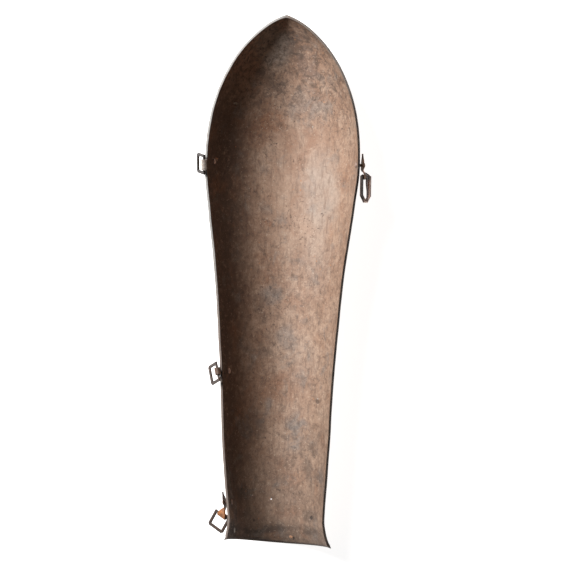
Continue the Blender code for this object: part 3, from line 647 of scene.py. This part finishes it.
def pinhole_cutter():
    """Two thin rods through the shell."""
    work = bmesh.new()
    for hole in PINHOLES:
        turn = math.asin(hole["across"] * math.sin(HALF_SWEEP))
        here, normal = wall_rows(hole["along"] * LENGTH, np.array([turn]))
        place = Matrix.Translation(Vector(here[0]) + WRIST_PLACE)
        turned = Vector(normal[0]).to_track_quat("Z", "Y").to_matrix().to_4x4()
        bmesh.ops.create_cone(work, cap_ends=True, segments=PINHOLE_SIDES, radius1=PINHOLE_RADIUS,
                              radius2=PINHOLE_RADIUS, depth=PINHOLE_ROD, matrix=place @ turned)
    mesh = bpy.data.meshes.new("pinhole_cutter")
    work.to_mesh(mesh)
    work.free()
    return mesh


def cut_pinholes(shell):
    """Cuts the pinholes for good, so that nothing but the shell is left in the scene."""
    tool = bpy.data.objects.new("pinhole_cutter", pinhole_cutter())
    bpy.context.scene.collection.objects.link(tool)
    cut = shell.modifiers.new("pinholes", "BOOLEAN")
    cut.operation = "DIFFERENCE"
    cut.solver = "EXACT"
    cut.object = tool
    bpy.context.view_layer.update()
    graph = bpy.context.evaluated_depsgraph_get()
    done = bpy.data.meshes.new_from_object(shell.evaluated_get(graph), preserve_all_data_layers=True,
                                           depsgraph=graph)
    shell.modifiers.clear()
    shell.data = done
    bpy.data.objects.remove(tool, do_unlink=True)


class Paint:
    """Short way to lay down a material's nodes."""

    def __init__(self, name):
        self.material = bpy.data.materials.new(name)
        self.material.use_nodes = True
        self.nodes = self.material.node_tree.nodes
        self.links = self.material.node_tree.links
        self.shader = self.nodes["Principled BSDF"]
        self.place = self.nodes.new("ShaderNodeTexCoord").outputs["Object"]

    def set(self, socket, value):
        if isinstance(value, bpy.types.NodeSocket):
            self.links.new(value, socket)
        else:
            socket.default_value = value

    def math(self, kind, first, second, clamp=False):
        node = self.nodes.new("ShaderNodeMath")
        node.operation = kind
        node.use_clamp = clamp
        self.set(node.inputs[0], first)
        self.set(node.inputs[1], second)
        return node.outputs[0]

    def times(self, first, second):
        return self.math("MULTIPLY", first, second)

    def plus(self, first, second, clamp=False):
        return self.math("ADD", first, second, clamp)

    def minus(self, first, second):
        return self.math("SUBTRACT", first, second)

    def vector_math(self, kind, *values):
        node = self.nodes.new("ShaderNodeVectorMath")
        node.operation = kind
        for socket, value in zip(node.inputs, values):
            self.set(socket, value)
        return node.outputs["Value" if kind == "LENGTH" else "Vector"]

    def scaled(self, scale, shift):
        node = self.nodes.new("ShaderNodeMapping")
        self.set(node.inputs["Vector"], self.place)
        node.inputs["Scale"].default_value = scale
        node.inputs["Location"].default_value = shift
        return node.outputs[0]

    def noise(self, size, detail, rough, warp=0.0, shift=(0, 0, 0), stretch=(1, 1, 1)):
        """Noise whose grain is about size metres, between 0 and 1."""
        node = self.nodes.new("ShaderNodeTexNoise")
        scale = tuple(1 / (size * way) for way in stretch)
        self.set(node.inputs["Vector"], self.scaled(scale, shift))
        node.inputs["Scale"].default_value = 1.0
        node.inputs["Detail"].default_value = detail
        node.inputs["Roughness"].default_value = rough
        node.inputs["Distortion"].default_value = warp
        return node.outputs["Fac"]

    def cells(self, size, shift):
        """Distance to the nearest of many scattered points, about size metres apart."""
        node = self.nodes.new("ShaderNodeTexVoronoi")
        self.set(node.inputs["Vector"], self.scaled((1 / size,) * 3, shift))
        node.inputs["Scale"].default_value = 1.0
        node.inputs["Randomness"].default_value = 1.0
        return node.outputs["Distance"]

    def ragged_place(self, reach):
        """The place, pushed about by up to reach metres, so that a mark's outline is uneven."""
        node = self.nodes.new("ShaderNodeTexNoise")
        self.set(node.inputs["Vector"], self.scaled((PUSH_SCALE,) * 3, PUSH_SHIFT))
        node.inputs["Scale"].default_value = 1.0
        node.inputs["Detail"].default_value = PUSH_DETAIL
        push = self.vector_math("MULTIPLY_ADD", node.outputs["Color"], (reach * 2, reach * 2, 0),
                                (-reach, -reach, 0))
        return self.vector_math("ADD", self.place, push)

    def span(self, value, between, values=(0.0, 1.0)):
        """Passes smoothly from the first to the second of values, while value passes through between."""
        node = self.nodes.new("ShaderNodeMapRange")
        node.interpolation_type = "SMOOTHSTEP"
        self.set(node.inputs["Value"], value)
        node.inputs["From Min"].default_value, node.inputs["From Max"].default_value = between
        node.inputs["To Min"].default_value, node.inputs["To Max"].default_value = values
        return node.outputs["Result"]

    def zone(self, pusher, axis, between, values, push=0.0):
        """A change along one axis of the place, moved about by push metres times the pusher."""
        node = self.nodes.new("ShaderNodeSeparateXYZ")
        self.set(node.inputs[0], self.place)
        place = node.outputs[axis]
        if push:
            place = self.plus(place, self.times(pusher, push))
        return self.span(place, between, values)

    def mix(self, share, first, second):
        node = self.nodes.new("ShaderNodeMix")
        node.data_type = "RGBA"
        self.set(node.inputs[0], share)
        self.set(node.inputs[6], first if not isinstance(first, tuple) else (*first, 1))
        self.set(node.inputs[7], second if not isinstance(second, tuple) else (*second, 1))
        return node.outputs[2]

    def attribute(self, name):
        node = self.nodes.new("ShaderNodeAttribute")
        node.attribute_name = name
        return node.outputs["Fac"]

    def spot(self, at, half, place):
        """1 in the middle of an oval and 0 outside it."""
        shifted = self.vector_math("SUBTRACT", place, (*at, 0))
        squeezed = self.vector_math("MULTIPLY", shifted, (1 / half[0], 1 / half[1], 0))
        return self.span(self.vector_math("LENGTH", squeezed), (SPOT_CORE, 1.0), (1.0, 0.0))

    def bump(self, height, distance, strength):
        node = self.nodes.new("ShaderNodeBump")
        node.inputs["Strength"].default_value = strength
        node.inputs["Distance"].default_value = distance
        self.set(node.inputs["Height"], height)
        return node.outputs["Normal"]

    def finish(self, colour, rough, metal, normal):
        self.set(self.shader.inputs["Base Color"], colour)
        self.set(self.shader.inputs["Roughness"], rough)
        self.set(self.shader.inputs["Metallic"], metal)
        self.set(self.shader.inputs["Normal"], normal)
        return self.material


def patina_fields(paint):
    """The patina's grains and the masks made of them, by name."""
    fields = {name: paint.noise(**row) for name, row in GRAINS.items()}
    fields["specks"] = paint.cells(**SPECKS)
    pusher = paint.minus(fields["broad"], 0.5)
    for name, row in ZONES.items():
        fields[name] = paint.zone(pusher, **row)
    calm = paint.spot(**SMOOTH_ZONE, place=paint.ragged_place(SMOOTH_ZONE_PUSH))
    fields["rough_skin"] = paint.minus(1.0, paint.times(calm, SMOOTH_ZONE_CALM))
    fields["pitted"] = paint.times(paint.span(fields["pits"], PITS_BETWEEN),
                                   paint.span(fields["pit_areas"], PIT_AREAS_BETWEEN))
    fields["specked"] = paint.span(fields["speck_areas"], SPECK_AREAS_BETWEEN)
    fields["worn"] = paint.times(paint.span(paint.attribute("rim"), RIM_BETWEEN),
                                 paint.span(fields["mottle"], RIM_MOTTLE_BETWEEN, RIM_MOTTLE_VALUES))
    return fields


def add_layers(paint, fields, colour, layers):
    """Lays each layer's tint over the colour, where its grain and its zones let it show."""
    for layer in layers:
        share = layer["strength"]
        if "grain" in layer:
            share = paint.times(paint.span(fields[layer["grain"]], layer["between"]), share)
        for name in layer.get("zones", ()):
            share = paint.times(fields[name], share)
        colour = paint.mix(share, colour, layer["tint"])
    return colour


def add_marks(paint, fields, colour):
    """Lays the marks over the colour, and notes the small ones as pressed in or raised."""
    inside = paint.attribute("inside")
    ragged = paint.times(paint.minus(fields["blotches"], 0.5), MARK_RAGGEDNESS)
    ragged = paint.plus(ragged, MARK_COVER, clamp=True)
    gentle = paint.span(fields["blotches"], PALE_BETWEEN, PALE_VALUES)
    pushed = paint.ragged_place(MARK_PUSH)
    fields["pressed"] = 0.0
    fields["raised"] = 0.0
    for mark in MARKS:
        small = max(mark["half"]) < SMALL_MARK
        at = [value * MILLIMETRE for value in mark["at"]]
        half = [value * MILLIMETRE for value in mark["half"]]
        spot = paint.spot(at, half, paint.place if small else pushed)
        if not small:
            spot = paint.times(spot, gentle if mark["kind"] == "pale" else ragged)
        spot = paint.times(paint.times(spot, mark["strength"]), inside)
        colour = paint.mix(spot, colour, MARK_COLOURS[mark["kind"]])
        if small:
            relief = "pressed" if mark["kind"] == "dark" else "raised"
            fields[relief] = paint.plus(fields[relief], spot)
    return colour


def add_edges(paint, fields, colour):
    """Lays the rim's bare metal, in painted light and shade, and the wrist edge's painted shade over the
    colour.
    """
    left = paint.mix(fields["lower_rim"], RIM_COLOURS["upper_left"], RIM_COLOURS["lower_left"])
    right = paint.mix(fields["upper_rim"], RIM_COLOURS["lower_right"], RIM_COLOURS["upper_right"])
    colour = paint.mix(fields["worn"], colour, paint.mix(fields["right_rim"], left, right))
    # Painted shade along the wrist edge.
    wrist = paint.times(paint.attribute("wrist_edge"), WRIST_EDGE_SHADE_STRENGTH)
    return paint.mix(wrist, colour, WRIST_EDGE_SHADE)


def patina():
    """Brown patina over forged iron: mottled, faintly streaked lengthwise, worn bare at the edge. Its colour
    also carries painted light and shade.
    """
    paint = Paint("brown_patina")
    fields = patina_fields(paint)
    colour = add_layers(paint, fields, GROUND_COLOUR, GROUND_LAYERS)
    colour = add_marks(paint, fields, colour)
    colour = add_layers(paint, fields, colour, WEATHER_LAYERS)
    colour = add_edges(paint, fields, colour)
    height = 0.0
    for name, share in RELIEF.items():
        height = paint.plus(height, paint.times(fields[name], share))
    rough = paint.plus(paint.span(fields["mottle"], NOISE_RANGE, ROUGHNESS), fields["dull_side"])
    rough = paint.plus(rough, fields["dull_lip"], clamp=True)
    rough = paint.minus(rough, paint.times(fields["worn"], RIM_POLISH))
    metal = paint.times(fields["worn"], RIM_METAL)
    paint.shader.inputs["Specular IOR Level"].default_value = PATINA_SPECULAR
    return paint.finish(colour, rough, metal, paint.bump(height, RELIEF_DEPTH, RELIEF_STRENGTH))


def rusty(name, dark, mid, bright, warm, size, zones=()):
    """Rusty iron of a small fitting: dark scale, brown rust and a rubbed, warmer high side."""
    paint = Paint(name)
    grains = {kind: paint.noise(size * row["share"], **row["settings"]) for kind, row in RUST_GRAINS.items()}
    fine = grains["fine"]
    colour = paint.mix(paint.span(grains["base"], MID_BETWEEN), dark, mid)
    colour = paint.mix(paint.span(fine, BRIGHT_BETWEEN), colour, bright)
    colour = paint.mix(paint.times(paint.span(grains["warm"], WARM_BETWEEN), WARM_STRENGTH), colour, warm)
    # A zone lays a tint by place: painted shade on the upper right frame, a dark head on two rivets.
    for zone in zones:
        mask = paint.zone(fine, zone["axis"], zone["between"], zone["values"], RUST_ZONE_PUSH)
        colour = paint.mix(mask, colour, zone["tint"])
    height = paint.plus(grains["base"], paint.times(fine, FINE_RUST_RELIEF))
    rough = paint.span(fine, NOISE_RANGE, RUST_ROUGHNESS)
    return paint.finish(colour, rough, RUST_METAL, paint.bump(height, RUST_DEPTH, RUST_STRENGTH))


def floor_material():
    paint = Paint("pale_floor")
    tone = paint.noise(**FLOOR_GRAIN)
    paint.shader.inputs["Emission Color"].default_value = WHITE
    paint.shader.inputs["Emission Strength"].default_value = FLOOR_GLOW
    normal = paint.bump(tone, FLOOR_RELIEF, FLOOR_RELIEF_STRENGTH)
    return paint.finish(paint.mix(tone, *FLOOR_COLOURS), FLOOR_ROUGHNESS, 0.0, normal)


def soften(item, width):
    """Rounds a fitting's edges."""
    bevel = item.modifiers.new("rubbed_edge", "BEVEL")
    bevel.width = width
    bevel.segments = BEVEL_SEGMENTS
    bevel.limit_method = "ANGLE"
    bevel.angle_limit = BEVEL_ANGLE
    item.data.shade_smooth()


def dress_guard():
    """Puts the fine shell with its patina in place of the plain one."""
    shell = build_shell()
    cut_pinholes(shell)
    shell.data.materials.clear()
    shell.data.materials.append(patina())
    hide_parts("guard_plate")
    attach(shell, "guard")


def dress_fittings():
    """Gives each fitting its rust, some with painted light and shade, and its rounded edges."""
    rusts = {name: rusty(name, **row) for name, row in RUSTS.items()}
    for name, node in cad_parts.items():
        if name == "guard_plate":
            continue
        kind = KINDS[name.split("_")[1]]
        node.data.materials.clear()
        node.data.materials.append(rusts[OWN_RUSTS.get(name, kind["rust"])])
        soften(node, kind["edge"])


def add_key_light():
    data = bpy.data.lights.new("key", "AREA")
    data.shape = "RECTANGLE"
    data.size = KEY_SIZE
    data.size_y = KEY_SIZE
    data.energy = KEY_POWER
    item = bpy.data.objects.new("key", data)
    bpy.context.scene.collection.objects.link(item)
    item.location = KEY_PLACE
    item.rotation_euler = (Vector(KEY_TARGET) - Vector(KEY_PLACE)).to_track_quat("-Z", "Y").to_euler()


def add_camera():
    data = bpy.data.cameras.new("camera")
    data.sensor_width = SENSOR
    data.lens = SENSOR * FRAME_DEPTH / FRAME_SPAN
    data.clip_end = CAMERA_REACH
    item = bpy.data.objects.new("camera", data)
    bpy.context.scene.collection.objects.link(item)
    item.location = (*CAMERA_PLACE, CAMERA_HEIGHT)
    item.rotation_euler = (0, 0, CAMERA_TURN)
    bpy.context.scene.camera = item


def add_floor():
    corners = [(-FLOOR_HALF, -FLOOR_HALF, 0), (FLOOR_HALF, -FLOOR_HALF, 0), (FLOOR_HALF, FLOOR_HALF, 0),
               (-FLOOR_HALF, FLOOR_HALF, 0)]
    floor = new_object("floor", corners, [(0, 1, 2, 3)])
    floor.location.z = -FLOOR_DROP
    floor.data.materials.append(floor_material())


def add_sky():
    world = bpy.data.worlds.new("studio")
    world.use_nodes = True
    world.node_tree.nodes["Background"].inputs["Color"].default_value = WHITE
    world.node_tree.nodes["Background"].inputs["Strength"].default_value = SKY_STRENGTH
    bpy.context.scene.world = world
    bpy.context.scene.view_settings.view_transform = "Standard"


add_camera()
dress_guard()
dress_fittings()
add_floor()
add_key_light()
add_sky()
